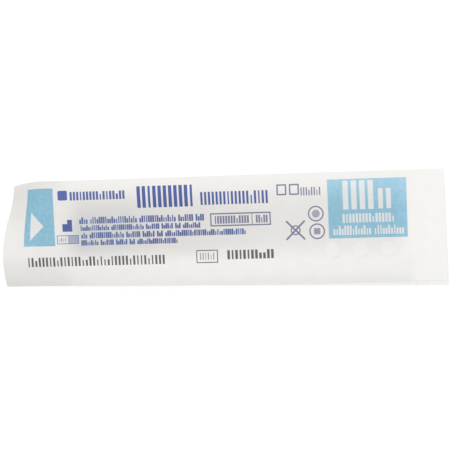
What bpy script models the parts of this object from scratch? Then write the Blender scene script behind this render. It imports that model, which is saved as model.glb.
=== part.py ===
"""A sterile peel pack that holds one capped 23G x 1 1/4 inch (0.6 x 32 mm) hypodermic needle.

The pack lies on the flat floor of its clear formed film, with the paper lid up. X runs along the pack from the
peel tab to the far seal, Y across it and Z up. Lengths are metres. Everything is first placed by (u, v), the
distance along the pack from the peel edge and across it from the lower edge, and is centred at the end.
"""

import math

import bmesh
import bpy
from mathutils import Matrix, Vector

MM = 0.001

# Cannula
CANNULA_DIAMETER = 0.64 * MM
CANNULA_BORE = 0.33 * MM
CANNULA_EXPOSED = 32.0 * MM
BEVEL_ANGLE = math.radians(12.0)
LANCET_ANGLE = math.radians(19.0)
LANCET_ROLL = math.radians(32.0)

# Hub, with the female cone of a 6 % taper at its open face
LUER_DIAMETER = 4.3 * MM
LUER_TAPER = 0.06
LUER_DEPTH = 8.0 * MM
HUB_WALL = 0.5 * MM
HUB_LENGTH = 14.5 * MM
FLANGE_THICKNESS = 1.1 * MM
FLANGE_WALL = 1.0 * MM
COLLAR_LENGTH = 4.0 * MM
COLLAR_WALL = 0.7 * MM
LUG_SPAN = 7.8 * MM
LUG_WIDTH = 3.4 * MM
FIN_COUNT = 8
FIN_HEIGHT = 0.22 * MM
FIN_WIDTH = 0.5 * MM
FIN_LENGTH = 5.2 * MM
NOSE_RADIUS = 1.6 * MM
NOSE_LENGTH = 2.9 * MM
NOSE_END_RADIUS = 1.15 * MM
GLUE_WELL_DEPTH = 1.2 * MM
GLUE_WELL_RADIUS = 0.8 * MM
GLUE_CROWN = 0.35 * MM
EDGE_BREAK = 0.12 * MM

# Sheath that covers the cannula and grips the hub's fins
SHEATH_WALL = 0.55 * MM
SHEATH_STOP_GAP = 0.15 * MM
SHEATH_GRIP_LENGTH = 8.0 * MM
SHEATH_SHOULDER_LENGTH = 3.2 * MM
SHEATH_BODY_RADIUS = 2.5 * MM
SHEATH_TIP_RADIUS = 2.3 * MM
SHEATH_TIP_LENGTH = 2.7 * MM
SHEATH_POINT_ROOM = 2.1 * MM
RIB_COUNT = 12
RIB_HEIGHT = 0.25 * MM
RIB_WIDTH = 0.6 * MM
RIB_INSET = 0.8 * MM

# Clearances
FIT = 0.08 * MM
GLUE_LINE = 0.03 * MM
REST_GAP = 0.1 * MM
SEAL_GAP = 0.1 * MM

# Film and paper
PAPER_THICKNESS = 0.12 * MM
FILM_THICKNESS = 0.15 * MM
HEADROOM = 0.5 * MM
LID_DIP = 0.3 * MM
SIDE_ROOM = 2.55 * MM
HUB_ROOM = 4.0 * MM
TIP_ROOM = 11.8 * MM
LOW_SEAL = 5.5 * MM
HIGH_SEAL = 2.6 * MM
FAR_SEAL = 7.0 * MM
NEAR_SEAL = 1.5 * MM
POCKET_CORNER = 4.6 * MM
WALL_DRAFT = math.radians(12.0)
RIM_FILLET = 0.8 * MM
FLOOR_FILLET = 1.8 * MM
FILM_OVERHANG_LOW = 1.05 * MM
FILM_OVERHANG_END = 0.4 * MM
FILM_OVERHANG_START = 36.0 * MM

# How the soft pack lies: the peel tab's upper corner falls and the lower margin sags
TAB_LENGTH = 12.0 * MM
TAB_BEND = 4.9 * MM
TAB_LEVEL = 4.8 * MM
TAB_FALL = math.radians(34.0)
TAB_OPENING = math.radians(6.0)
MARGIN_WIDTH = 6.4 * MM
MARGIN_SAG = math.radians(37.0)
MARGIN_SAG_FAR = math.radians(7.0)
SAG_LENGTH = 40.0 * MM

# Facets
ROUND_STEPS = 40
CANNULA_STEPS = 16
FLANGE_RINGS = 9
LID_RINGS = 4
HALF_CORNER_STEPS = 4
SIDE_STEPS = 16
END_STEPS = 2
FILLET_STEPS = 4

# Worked out from the sizes above. Along the needle, distances run from the hub's open face.
FLANGE_RADIUS = LUER_DIAMETER / 2 + FLANGE_WALL
COLLAR_RADIUS = LUER_DIAMETER / 2 + COLLAR_WALL
NOSE_START = HUB_LENGTH - NOSE_LENGTH


def luer_radius(distance):
    return (LUER_DIAMETER - LUER_TAPER * distance) / 2


FIN_RADIUS = luer_radius(COLLAR_LENGTH) + HUB_WALL + FIN_HEIGHT
MOUTH_START = COLLAR_LENGTH + SHEATH_STOP_GAP
MOUTH_BORE = FIN_RADIUS + FIT
MOUTH_RADIUS = MOUTH_BORE + SHEATH_WALL
MOUTH_END = MOUTH_START + SHEATH_GRIP_LENGTH
RIB_RADIUS = MOUTH_RADIUS + RIB_HEIGHT
RIB_START = MOUTH_START + RIB_INSET
RIB_END = MOUTH_END - RIB_INSET / 2
NEEDLE_POINT = HUB_LENGTH + CANNULA_EXPOSED
SHEATH_BORE_END = NEEDLE_POINT + SHEATH_POINT_ROOM
NEEDLE_LENGTH = SHEATH_BORE_END + 2 * SHEATH_WALL
TIP_SHOULDER = NEEDLE_LENGTH - SHEATH_TIP_LENGTH

# The lugs lie level, because the pocket is wider than it is deep.
NEEDLE_ROLL = math.pi / 2
NEEDLE_TILT = math.atan2(RIB_RADIUS - SHEATH_TIP_RADIUS, TIP_SHOULDER - RIB_END)
NEEDLE_SEAT = FILM_THICKNESS + REST_GAP + RIB_RADIUS / math.cos(NEEDLE_TILT)
NEEDLE_TOP = NEEDLE_SEAT + (RIB_END - RIB_START) * math.sin(NEEDLE_TILT) + RIB_RADIUS

SHEET_HEIGHT = NEEDLE_TOP + HEADROOM
POCKET_WIDTH = LUG_SPAN + 2 * SIDE_ROOM
PACK_WIDTH = LOW_SEAL + POCKET_WIDTH + HIGH_SEAL
POCKET_START = TAB_LENGTH + NEAR_SEAL
HUB_FACE = POCKET_START + HUB_ROOM
POCKET_END = HUB_FACE + NEEDLE_LENGTH + TIP_ROOM
PACK_LENGTH = POCKET_END + FAR_SEAL
MIDDLE = LOW_SEAL + POCKET_WIDTH / 2
# An even number, so that one point of each round corner looks at the sheet's square corner.
CORNER_STEPS = 2 * HALF_CORNER_STEPS

PAPER_WHITE = (0.88, 0.87, 0.85)
CLEAR_FILM = (0.90, 0.93, 0.95)
SHEATH_NATURAL = (0.86, 0.88, 0.88)
HUB_BLUE = (0.03, 0.12, 0.45)
STEEL = (0.62, 0.63, 0.65)
GLUE_CLEAR = (0.85, 0.82, 0.70)


def clear_scene():
    for obj in list(bpy.data.objects):
        bpy.data.objects.remove(obj, do_unlink=True)


def new_collection(name):
    collection = bpy.data.collections.new(name)
    bpy.context.scene.collection.children.link(collection)
    return collection


def painted(obj, colour, roughness, metallic=0.0, alpha=1.0):
    material = bpy.data.materials.new(obj.name)
    material.use_nodes = True
    shader = material.node_tree.nodes["Principled BSDF"]
    shader.inputs["Base Color"].default_value = (*colour, 1.0)
    shader.inputs["Roughness"].default_value = roughness
    shader.inputs["Metallic"].default_value = metallic
    shader.inputs["Alpha"].default_value = alpha
    obj.data.materials.append(material)


def filed(obj, collection):
    """Puts an object that an operator or a function made into one collection only."""
    for other in list(obj.users_collection):
        other.objects.unlink(obj)
    collection.objects.link(obj)
    return obj


def as_helper(obj):
    filed(obj, CUTTERS)
    obj.hide_render = True
    obj.display_type = "WIRE"
    return obj


def smooth_with_edges(obj, sharp_angle=math.radians(35.0)):
    obj.data.shade_smooth()
    obj.data.set_sharp_from_angle(angle=sharp_angle)


# How the seal plane lies in space


def bent(length, turn, bend):
    """(run, drop) of a strip that bends in a round arc until it points down by turn and then goes on straight."""
    arc = min(length, bend)
    angle = turn * arc / bend
    tail = length - arc
    if abs(angle) < 1e-6:
        return length, 0.0
    radius = arc / angle
    run = radius * math.sin(angle) + tail * math.cos(angle)
    return run, radius * (1.0 - math.cos(angle)) + tail * math.sin(angle)


def tab_share(v):
    return min(max((v - TAB_LEVEL) / (PACK_WIDTH - TAB_LEVEL), 0.0), 1.0)


def tab_turn(v):
    """The tab is level along its lower edge and falls more and more towards its upper corner."""
    share = tab_share(v)
    return TAB_FALL * share**2 * (3.0 - 2.0 * share)


def tab_narrowing(v, arm):
    """How far a point moves in, because the twisted tab leans: half the integral of the lean squared."""
    share = tab_share(v)
    return (arm * TAB_FALL) ** 2 * 18.0 / (PACK_WIDTH - TAB_LEVEL) * (share**3 / 3 - share**4 / 2 + share**5 / 5)


def margin_turn(u):
    """The lower margin's sag dies away from the tab towards the far seal."""
    share = min(max(u / SAG_LENGTH, 0.0), 1.0)
    return MARGIN_SAG_FAR + (MARGIN_SAG - MARGIN_SAG_FAR) * (1.0 - share**2) ** 2


def seal_point(u, v, opening):
    """Where point (u, v) of the seal plane lies once the tab has fallen and the margin has sagged."""
    into_tab = max(TAB_LENGTH - u, 0.0)
    tab_run, tab_drop = bent(into_tab, tab_turn(v) + opening, TAB_BEND)
    arm = into_tab - TAB_BEND / 2 if into_tab > TAB_BEND else into_tab**2 / (2 * TAB_BEND)

    into_margin = max(MARGIN_WIDTH - v, 0.0)
    margin_run, margin_drop = bent(into_margin, margin_turn(u), MARGIN_WIDTH)
    across = v + into_margin - margin_run - tab_narrowing(v, arm)
    return Vector((u + into_tab - tab_run, across, SHEET_HEIGHT - tab_drop - margin_drop))


def laid(u, v, rise, opening=0.0):
    """A point of a layer that lies this far above the seal plane, along the plane's normal."""
    step = 0.05 * MM
    along = seal_point(u + step, v, opening) - seal_point(u - step, v, opening)
    across = seal_point(u, v + step, opening) - seal_point(u, v - step, opening)
    return seal_point(u, v, opening) + along.cross(across).normalized() * rise


# Paper lid and formed film, both made of rings of points round the pocket


def pocket_stations():
    """(core point, direction) round the pocket: four round corners with straight sides between them.

    A loop of the pocket is the core points moved out by its corner radius, so all loops match point for point.
    """
    low_u, high_u = POCKET_START + POCKET_CORNER, POCKET_END - POCKET_CORNER
    low_v = LOW_SEAL + POCKET_CORNER
    high_v = PACK_WIDTH - HIGH_SEAL - POCKET_CORNER
    corners = [(high_u, high_v), (low_u, high_v), (low_u, low_v), (high_u, low_v)]
    side_steps = [SIDE_STEPS, END_STEPS, SIDE_STEPS, END_STEPS]
    stations = []
    for number, corner in enumerate(corners):
        start = number * math.pi / 2
        for step in range(CORNER_STEPS + 1):
            angle = start + step / CORNER_STEPS * math.pi / 2
            stations.append((Vector(corner), Vector((math.cos(angle), math.sin(angle)))))
        onward = Vector(corners[(number + 1) % 4])
        end = start + math.pi / 2
        for step in range(1, side_steps[number]):
            core = Vector(corner).lerp(onward, step / side_steps[number])
            stations.append((core, Vector((math.cos(end), math.sin(end)))))
    return stations


def cut_edge(core, direction, overhang_low, overhang_end):
    """Where the line from a core point through the pocket's rim meets the sheet's cut edge.

    The film is cut a little askew of the paper, so it shows along the far half of the lower edge.
    """
    square = direction / max(abs(direction.x), abs(direction.y))
    askew = overhang_end * (1.0 - square.y) / 2
    edge_u = PACK_LENGTH + askew if direction.x > 0 else 0.0
    u = core.x + abs(square.x) * (edge_u - core.x)
    shown = max(u - FILM_OVERHANG_START, 0.0) / (PACK_LENGTH - FILM_OVERHANG_START)
    edge_v = PACK_WIDTH if direction.y > 0 else -overhang_low * shown
    return Vector((u, core.y + abs(square.y) * (edge_v - core.y)))


def flange_rings(rise, opening, overhang_low=0.0, overhang_end=0.0):
    """Rings from the cut edge to the pocket's rim."""
    rings = []
    for ring in range(FLANGE_RINGS + 1):
        points = []
        for core, direction in pocket_stations():
            edge = cut_edge(core, direction, overhang_low, overhang_end)
            u, v = edge.lerp(core + direction * POCKET_CORNER, ring / FLANGE_RINGS)
            points.append(laid(u, v, rise, opening))
        rings.append(points)
    return rings


def sheet_from(name, rings, thickness, upwards):
    """A sheet through the rings, closed by one face in the last, with its thickness added above or below."""
    shape = bmesh.new()
    verts = [[shape.verts.new(point) for point in ring] for ring in rings]
    for outer, inner in zip(verts, verts[1:]):
        for i in range(len(outer)):
            j = (i + 1) % len(outer)
            shape.faces.new((outer[i], outer[j], inner[j]))
            shape.faces.new((outer[i], inner[j], inner[i]))
    shape.faces.new(verts[-1])
    mesh = bpy.data.meshes.new(name)
    shape.to_mesh(mesh)
    shape.free()
    sheet = filed(bpy.data.objects.new(name, mesh), PARTS)
    smooth_with_edges(sheet)
    shell = sheet.modifiers.new("thickness", "SOLIDIFY")
    shell.thickness = thickness
    shell.offset = 1.0 if upwards else -1.0
    shell.use_even_offset = True
    return sheet


def make_paper_lid():
    """The lid is flat on the seals and dips a little over the pocket, where nothing carries it."""
    rings = flange_rings(SEAL_GAP / 2, 0.0)
    for ring in range(1, LID_RINGS + 1):
        share = ring / (LID_RINGS + 0.2)
        dip = LID_DIP * share**2 * (3.0 - 2.0 * share)
        points = []
        for core, direction in pocket_stations():
            u, v = core + direction * POCKET_CORNER * (1.0 - share)
            points.append(laid(u, v, SEAL_GAP / 2 - dip))
        rings.append(points)
    lid = sheet_from("paper_lid", rings, PAPER_THICKNESS, upwards=True)
    painted(lid, PAPER_WHITE, roughness=0.75)
    return lid


def wall_profile(depth):
    """(inset, drop) pairs down the pocket's wall: a round rim, a drafted wall and a round foot."""
    turn = math.pi / 2 - WALL_DRAFT
    arcs_drop = (RIM_FILLET + FLOOR_FILLET) * (1.0 - math.cos(turn))
    straight = (depth - arcs_drop) / math.sin(turn)
    points = []
    for step in range(1, FILLET_STEPS + 1):
        angle = turn * step / FILLET_STEPS
        points.append((RIM_FILLET * math.sin(angle), RIM_FILLET * (1.0 - math.cos(angle))))
    inset, drop = points[-1]
    foot_inset = inset + straight * math.cos(turn)
    foot_drop = drop + straight * math.sin(turn)
    for step in range(FILLET_STEPS + 1):
        angle = turn * (1.0 - step / FILLET_STEPS)
        inset = foot_inset + FLOOR_FILLET * (math.sin(turn) - math.sin(angle))
        drop = foot_drop + FLOOR_FILLET * (math.cos(angle) - math.cos(turn))
        points.append((inset, drop))
    return points


def make_film_blister():
    """The flange, then each station's wall profile, stretched to end on one level floor."""
    rings = flange_rings(-SEAL_GAP / 2, TAB_OPENING, FILM_OVERHANG_LOW, FILM_OVERHANG_END)
    floor_radius = POCKET_CORNER - wall_profile(SHEET_HEIGHT - FILM_THICKNESS)[-1][0]
    columns = []
    for (core, direction), rim in zip(pocket_stations(), rings[-1]):
        profile = wall_profile(rim.z - FILM_THICKNESS)
        reach = core + direction * floor_radius - rim.xy
        last = profile[-1][0]
        columns.append([rim + (reach * (inset / last)).to_3d() - Vector((0, 0, drop)) for inset, drop in profile])
    rings.extend(zip(*columns))
    film = sheet_from("film_blister", rings, FILM_THICKNESS, upwards=False)
    painted(film, CLEAR_FILM, roughness=0.2, alpha=0.35)
    return film


# Needle, modelled along +Z from the hub's open face


def turned(name, profile, steps=ROUND_STEPS):
    """A solid turned about Z from (radius, height) points that run down its outer side, both ends on the axis."""
    mesh = bpy.data.meshes.new(name)
    edges = [(i, i + 1) for i in range(len(profile) - 1)]
    mesh.from_pydata([(radius, 0.0, height) for radius, height in profile], edges, [])
    obj = filed(bpy.data.objects.new(name, mesh), PARTS)
    screw = obj.modifiers.new("turning", "SCREW")
    screw.axis = "Z"
    screw.angle = 2 * math.pi
    screw.steps = screw.render_steps = steps
    screw.use_merge_vertices = True
    screw.merge_threshold = 0.01 * MM
    return obj


def combined(obj, other, operation):
    boolean = obj.modifiers.new(other.name, "BOOLEAN")
    boolean.operation = operation
    boolean.object = as_helper(other)
    boolean.solver = "EXACT"


def settled(obj):
    """The object with its modifiers made into plain mesh, so that it can be shaded by angle."""
    graph = bpy.context.evaluated_depsgraph_get()
    mesh = bpy.data.meshes.new_from_object(obj.evaluated_get(graph))
    obj.modifiers.clear()
    obj.data = mesh
    mesh.name = obj.name
    smooth_with_edges(obj)
    return obj


def radial_bars(name, count, inner, outer, width, start, end):
    """Bars along Z set round the axis, in one helper object."""
    shape = bmesh.new()
    for number in range(count):
        around = Matrix.Rotation(2 * math.pi * number / count, 4, "Z")
        size = Matrix.Diagonal((outer - inner, width, end - start, 1.0))
        place = Matrix.Translation(((outer + inner) / 2, 0.0, (start + end) / 2))
        bmesh.ops.create_cube(shape, size=1.0, matrix=around @ place @ size)
    mesh = bpy.data.meshes.new(name)
    shape.to_mesh(mesh)
    shape.free()
    return filed(bpy.data.objects.new(name, mesh), CUTTERS)


def make_hub():
    """The outer form with its lugs and fins, bored by the socket, the cannula's passage and the glue well."""
    core_end = luer_radius(LUER_DEPTH) + HUB_WALL
    outer = [
        (0.0, HUB_LENGTH),
        (NOSE_END_RADIUS - EDGE_BREAK, HUB_LENGTH),
        (NOSE_END_RADIUS, HUB_LENGTH - EDGE_BREAK),
        (NOSE_RADIUS, NOSE_START),
        (core_end, LUER_DEPTH + 2 * HUB_WALL),
        (luer_radius(COLLAR_LENGTH) + HUB_WALL, COLLAR_LENGTH),
        (COLLAR_RADIUS - EDGE_BREAK, COLLAR_LENGTH),
        (COLLAR_RADIUS, COLLAR_LENGTH - EDGE_BREAK),
        (COLLAR_RADIUS, FLANGE_THICKNESS),
        (FLANGE_RADIUS - EDGE_BREAK, FLANGE_THICKNESS),
        (FLANGE_RADIUS, FLANGE_THICKNESS - EDGE_BREAK),
        (FLANGE_RADIUS, EDGE_BREAK),
        (FLANGE_RADIUS - EDGE_BREAK, 0.0),
        (0.0, 0.0),
    ]
    hub = turned("needle_hub", outer)

    reach = COLLAR_WALL / 2
    lugs = radial_bars("lug_bar", 2, LUER_DIAMETER / 2 + reach, LUG_SPAN, LUG_WIDTH, 0.0, FLANGE_THICKNESS)
    disc = [(0.0, 2 * FLANGE_THICKNESS), (LUG_SPAN / 2, 2 * FLANGE_THICKNESS), (LUG_SPAN / 2, -FLANGE_THICKNESS)]
    disc.append((0.0, -FLANGE_THICKNESS))
    combined(lugs, turned("lug_round", disc), "INTERSECT")
    combined(hub, lugs, "UNION")

    fin_root = luer_radius(LUER_DEPTH) + HUB_WALL / 2
    fin_start = COLLAR_LENGTH - HUB_WALL / 2
    fins = radial_bars("fin_bars", FIN_COUNT, fin_root, FIN_RADIUS, FIN_WIDTH, fin_start, COLLAR_LENGTH + FIN_LENGTH)
    combined(hub, fins, "UNION")

    passage = CANNULA_DIAMETER / 2 + GLUE_LINE
    margin = HUB_WALL
    socket = [
        (0.0, HUB_LENGTH + margin),
        (GLUE_WELL_RADIUS, HUB_LENGTH + margin),
        (GLUE_WELL_RADIUS, HUB_LENGTH),
        (passage, HUB_LENGTH - GLUE_WELL_DEPTH),
        (passage, LUER_DEPTH + 2 * HUB_WALL),
        (luer_radius(LUER_DEPTH), LUER_DEPTH),
        (luer_radius(-margin), -margin),
        (0.0, -margin),
    ]
    combined(hub, turned("hub_bore", socket), "DIFFERENCE")
    painted(settled(hub), HUB_BLUE, roughness=0.3)
    return hub


def make_sheath():
    """A closed tube with a wide ribbed mouth, a shoulder, a long slim body and a domed tip."""
    body_start = MOUTH_END + SHEATH_SHOULDER_LENGTH
    dome = []
    for step in range(FILLET_STEPS + 1):
        angle = math.pi / 2 * (1.0 - step / FILLET_STEPS)
        height = TIP_SHOULDER + SHEATH_TIP_LENGTH * math.sin(angle)
        dome.append((SHEATH_TIP_RADIUS * math.cos(angle), height))
    dome[0] = (0.0, NEEDLE_LENGTH)
    outer = dome + [
        (SHEATH_BODY_RADIUS, body_start),
        (MOUTH_RADIUS, MOUTH_END),
        (MOUTH_RADIUS, MOUTH_START + EDGE_BREAK),
        (MOUTH_RADIUS - EDGE_BREAK, MOUTH_START),
        (0.0, MOUTH_START),
    ]
    sheath = turned("needle_sheath", outer)
    ribs = radial_bars("rib_bars", RIB_COUNT, MOUTH_BORE + SHEATH_WALL / 2, RIB_RADIUS, RIB_WIDTH, RIB_START, RIB_END)
    combined(sheath, ribs, "UNION")

    body_bore = SHEATH_BODY_RADIUS - SHEATH_WALL
    tip_bore = SHEATH_TIP_RADIUS - 1.5 * SHEATH_WALL
    margin = SHEATH_WALL
    bore = [
        (0.0, SHEATH_BORE_END),
        (tip_bore, SHEATH_BORE_END - tip_bore / 2),
        (body_bore, body_start - SHEATH_WALL),
        (MOUTH_BORE, MOUTH_END - SHEATH_WALL),
        (MOUTH_BORE, MOUTH_START - margin),
        (0.0, MOUTH_START - margin),
    ]
    combined(sheath, turned("sheath_bore", bore), "DIFFERENCE")
    painted(settled(sheath), SHEATH_NATURAL, roughness=0.35, alpha=0.6)
    return sheath


def grinding_block(name, angle, roll, meet):
    """A block whose lower face is the ground plane: it meets the axis at height meet, tipped by angle."""
    size = 10 * CANNULA_DIAMETER
    bpy.ops.mesh.primitive_cube_add(size=size)
    block = as_helper(bpy.context.object)
    block.name = name
    up_and_out = Matrix.Translation((size / 2, 0.0, 0.0))
    tip = Matrix.Rotation(-angle, 4, "Y")
    around = Matrix.Rotation(roll, 4, "Z")
    block.data.transform(Matrix.Translation((0.0, 0.0, meet)) @ around @ tip @ up_and_out)
    return block


def make_cannula():
    """A steel tube with a long ground bevel and two lancet facets that sharpen its point."""
    start = LUER_DEPTH + HUB_WALL
    radius = CANNULA_DIAMETER / 2
    tube = [(0.0, NEEDLE_POINT), (radius, NEEDLE_POINT), (radius, start), (0.0, start)]
    cannula = turned("cannula", tube, CANNULA_STEPS)
    margin = CANNULA_DIAMETER
    bore = [(0.0, NEEDLE_POINT + margin), (CANNULA_BORE / 2, NEEDLE_POINT + margin)]
    bore += [(CANNULA_BORE / 2, start - margin), (0.0, start - margin)]
    combined(cannula, turned("cannula_bore", bore, CANNULA_STEPS), "DIFFERENCE")

    bevel_meet = NEEDLE_POINT - radius / math.tan(BEVEL_ANGLE)
    combined(cannula, grinding_block("bevel_block", BEVEL_ANGLE, 0.0, bevel_meet), "DIFFERENCE")
    lancet_meet = NEEDLE_POINT - radius * math.cos(LANCET_ROLL) / math.tan(LANCET_ANGLE)
    for side in (-1, 1):
        block = grinding_block(f"lancet_block_{side}", LANCET_ANGLE, side * LANCET_ROLL, lancet_meet)
        combined(cannula, block, "DIFFERENCE")
    painted(settled(cannula), STEEL, roughness=0.25, metallic=1.0)
    return cannula


def make_adhesive():
    """The cured drop that fills the glue well round the cannula and stands a little proud of the nose."""
    inner = CANNULA_DIAMETER / 2 + GLUE_LINE
    slope = (GLUE_WELL_RADIUS - inner) / GLUE_WELL_DEPTH
    bottom = HUB_LENGTH - GLUE_WELL_DEPTH + 5 * GLUE_LINE
    rim = GLUE_WELL_RADIUS - 2 * GLUE_LINE
    foot = inner + slope * (bottom - HUB_LENGTH + GLUE_WELL_DEPTH)
    drop = [
        (0.0, HUB_LENGTH + GLUE_CROWN),
        (inner + GLUE_LINE, HUB_LENGTH + GLUE_CROWN),
        (rim * 0.8, HUB_LENGTH + GLUE_CROWN / 3),
        (rim, HUB_LENGTH - GLUE_LINE),
        (foot - GLUE_LINE, bottom),
        (0.0, bottom),
    ]
    bead = turned("adhesive_bead", drop)
    margin = GLUE_WELL_DEPTH
    hole = [(0.0, HUB_LENGTH + margin), (inner, HUB_LENGTH + margin)]
    hole += [(inner, HUB_LENGTH - 2 * margin), (0.0, HUB_LENGTH - 2 * margin)]
    combined(bead, turned("bead_bore", hole), "DIFFERENCE")
    painted(settled(bead), GLUE_CLEAR, roughness=0.2)
    return bead


def empty_named(name):
    empty = bpy.data.objects.new(name, None)
    PARTS.objects.link(empty)
    return empty


def box_of(objects):
    """(low, high) corners of the objects as they are built, from their points."""
    bpy.context.view_layer.update()
    graph = bpy.context.evaluated_depsgraph_get()
    points = []
    for obj in objects:
        made = obj.evaluated_get(graph)
        points.extend(made.matrix_world @ vertex.co for vertex in made.data.vertices)
    return Vector(map(min, *points)), Vector(map(max, *points))


def main():
    sheets = [make_paper_lid(), make_film_blister()]
    needle = [make_hub(), make_sheath(), make_cannula(), make_adhesive()]

    pack_origin = empty_named("pack_origin")
    needle_axis = empty_named("needle_axis")
    needle_axis.parent = pack_origin
    rise = RIB_END * math.sin(NEEDLE_TILT)
    needle_axis.location = (HUB_FACE, MIDDLE, NEEDLE_SEAT + rise)
    needle_axis.rotation_euler = (0.0, math.pi / 2 + NEEDLE_TILT, 0.0)
    for piece in needle:
        piece.parent = needle_axis
        piece.rotation_euler.z = NEEDLE_ROLL
    for piece in sheets:
        piece.parent = pack_origin

    low, high = box_of(sheets + needle)
    pack_origin.location = (-(low.x + high.x) / 2, -(low.y + high.y) / 2, -low.z)
    bpy.context.view_layer.update()


clear_scene()
PARTS = new_collection("needle_peel_pack")
CUTTERS = new_collection("cutters")
main()
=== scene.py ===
# %% [markdown]
# # A sealed peel pack with a hypodermic needle in it
#
# A sterile needle is sold in a small pack: a printed paper lid heat sealed to a clear formed film, with
# the needle under the paper in the film's pocket. The pack lies on the pocket's floor, print up.
#
# The solids are loaded first and stay fixed. All that is made below lies in their space, in metres, with
# X along the pack, Y across it and Z up.

# %% Load the solids
import math

import bmesh
import bpy
from mathutils import Matrix, Vector


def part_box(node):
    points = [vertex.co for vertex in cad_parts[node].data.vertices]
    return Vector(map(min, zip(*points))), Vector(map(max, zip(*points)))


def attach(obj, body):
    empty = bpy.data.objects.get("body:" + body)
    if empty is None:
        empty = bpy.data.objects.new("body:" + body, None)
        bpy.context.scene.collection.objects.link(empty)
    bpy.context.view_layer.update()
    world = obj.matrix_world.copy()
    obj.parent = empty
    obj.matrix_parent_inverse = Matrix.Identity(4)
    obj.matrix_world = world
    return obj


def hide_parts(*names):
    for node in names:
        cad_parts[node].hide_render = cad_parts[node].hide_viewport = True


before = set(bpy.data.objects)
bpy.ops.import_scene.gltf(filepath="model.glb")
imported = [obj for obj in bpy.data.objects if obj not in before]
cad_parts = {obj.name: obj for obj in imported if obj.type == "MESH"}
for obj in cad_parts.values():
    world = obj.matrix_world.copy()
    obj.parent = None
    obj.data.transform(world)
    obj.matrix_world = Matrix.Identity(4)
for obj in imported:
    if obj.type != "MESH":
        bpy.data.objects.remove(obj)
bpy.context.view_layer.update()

def in_mm(metres, digits=1):
    """Metres as rounded millimetres."""
    return [round(part * 1000, digits) for part in metres]

# %% [markdown]
# ## Camera
#
# The photograph was taken from almost straight above, a little from the far right. The camera's turns,
# lens and small shift were worked out from the corners of the pack and of its two blue fields.

# %% Camera
MM = 0.001
FROM_THE_RIGHT = math.radians(9.209)
FROM_THE_TOP = math.radians(-5.418)
TURNED = math.radians(-2.439)
CAMERA_DISTANCE = 300 * MM
AIM = (-0.03 * MM, 0.0, 7 * MM)
scene = bpy.context.scene

def new_object(name, data=None):
    """An object in the scene with this data, or else with an empty mesh."""
    made = bpy.data.objects.new(name, data or bpy.data.meshes.new(name))
    scene.collection.objects.link(made)
    return made

camera = new_object("camera", bpy.data.cameras.new("camera"))
scene.camera = camera
swing = Matrix.Rotation(FROM_THE_RIGHT, 4, "Y") @ Matrix.Rotation(FROM_THE_TOP, 4, "X")
at_aim = Matrix.Translation(AIM) @ swing @ Matrix.Rotation(TURNED, 4, "Z")
camera.matrix_world = at_aim @ Matrix.Translation((0, 0, CAMERA_DISTANCE))
camera.data.sensor_width = 36.0
camera.data.lens = 124.93
camera.data.shift_x = 0.0099
camera.data.shift_y = 0.0165
camera.data.clip_start = 10 * MM
print("camera at", in_mm(camera.location), "mm")

# %% [markdown]
# ## Writing node sums as plain sums
#
# The lie of the paper and its print are rules: sums on the distance along and across the pack. Placing
# their Math nodes one by one would hide them. So a socket is wrapped in a small class whose +, -, * and /
# each add one Math node, in materials and in Geometry Nodes alike.

# %% The socket wrapper

def connect(tree, value, socket):
    """Gives a node's input either a link from another node or a fixed value."""
    if isinstance(value, Wire):
        tree.links.new(value.socket, socket)
    else:
        socket.default_value = value

def connect_all(tree, node, values):
    """The same for several inputs, by name or number."""
    for name, value in values.items():
        connect(tree, value, node.inputs[name])

def add_node(tree, kind, inputs=None, **settings):
    node = tree.nodes.new(kind)
    for name, value in settings.items():
        setattr(node, name, value)
    connect_all(tree, node, inputs or {})
    return node

def add_wire(tree, kind, inputs=None, output=0, **settings):
    """One output of a new node, ready for sums."""
    return Wire(tree, add_node(tree, kind, inputs, **settings).outputs[output])

class Wire:
    """A node's output that can be used in sums."""

    def __init__(self, tree, socket):
        self.tree, self.socket = tree, socket

    def math(self, operation, *others, clamp=False):
        inputs = dict(enumerate((self, *others)))
        return add_wire(self.tree, "ShaderNodeMath", inputs, operation=operation, use_clamp=clamp)

    def __add__(self, other):
        return self.math("ADD", other)

    def __sub__(self, other):
        return self.math("SUBTRACT", other)

    def __mul__(self, other):
        return self.math("MULTIPLY", other)

    def __truediv__(self, other):
        return self.math("DIVIDE", other)

    def __neg__(self):
        return self.math("MULTIPLY", -1.0)

    def __abs__(self):
        return self.math("ABSOLUTE")

    __radd__ = __add__
    __rmul__ = __mul__

    def __rsub__(self, other):
        return -self + other

    def __rtruediv__(self, other):
        return self.math("POWER", -1.0) * other

    def clamped(self):
        return self.math("ADD", 0.0, clamp=True)

    def rising(self, start, end):
        """0 before start and 1 past end, with an even slope between. It falls if end is the lower."""
        return (self - start).math("DIVIDE", end - start, clamp=True)

    def smoothed(self):
        """0 to 1 with soft ends, from a share between 0 and 1."""
        share = self.clamped()
        return share * share * (3.0 - 2.0 * share)

    def covers(self, softness):
        """1 where a signed distance is inside the shape, 0 outside, with an edge this soft."""
        return self.rising(softness, -softness)

def split(tree, vector):
    node = add_node(tree, "ShaderNodeSeparateXYZ", {0: vector})
    return [Wire(tree, socket) for socket in node.outputs]

def joined(tree, x, y, z):
    return add_wire(tree, "ShaderNodeCombineXYZ", {0: x, 1: y, 2: z})

def scaled(tree, vector, factor):
    """A place or a colour times a number."""
    return add_wire(tree, "ShaderNodeVectorMath", {0: vector, "Scale": factor}, operation="SCALE")

def most(masks):
    """One mask from several."""
    result, *others = masks
    for other in others:
        result = result.math("MAXIMUM", other)
    return result

# %% Node groups with named inputs
SOCKETS = {float: "NodeSocketFloat", int: "NodeSocketInt", Vector: "NodeSocketVector"}
SOCKETS |= {bpy.types.Material: "NodeSocketMaterial", bpy.types.Mesh: "NodeSocketGeometry"}

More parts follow.
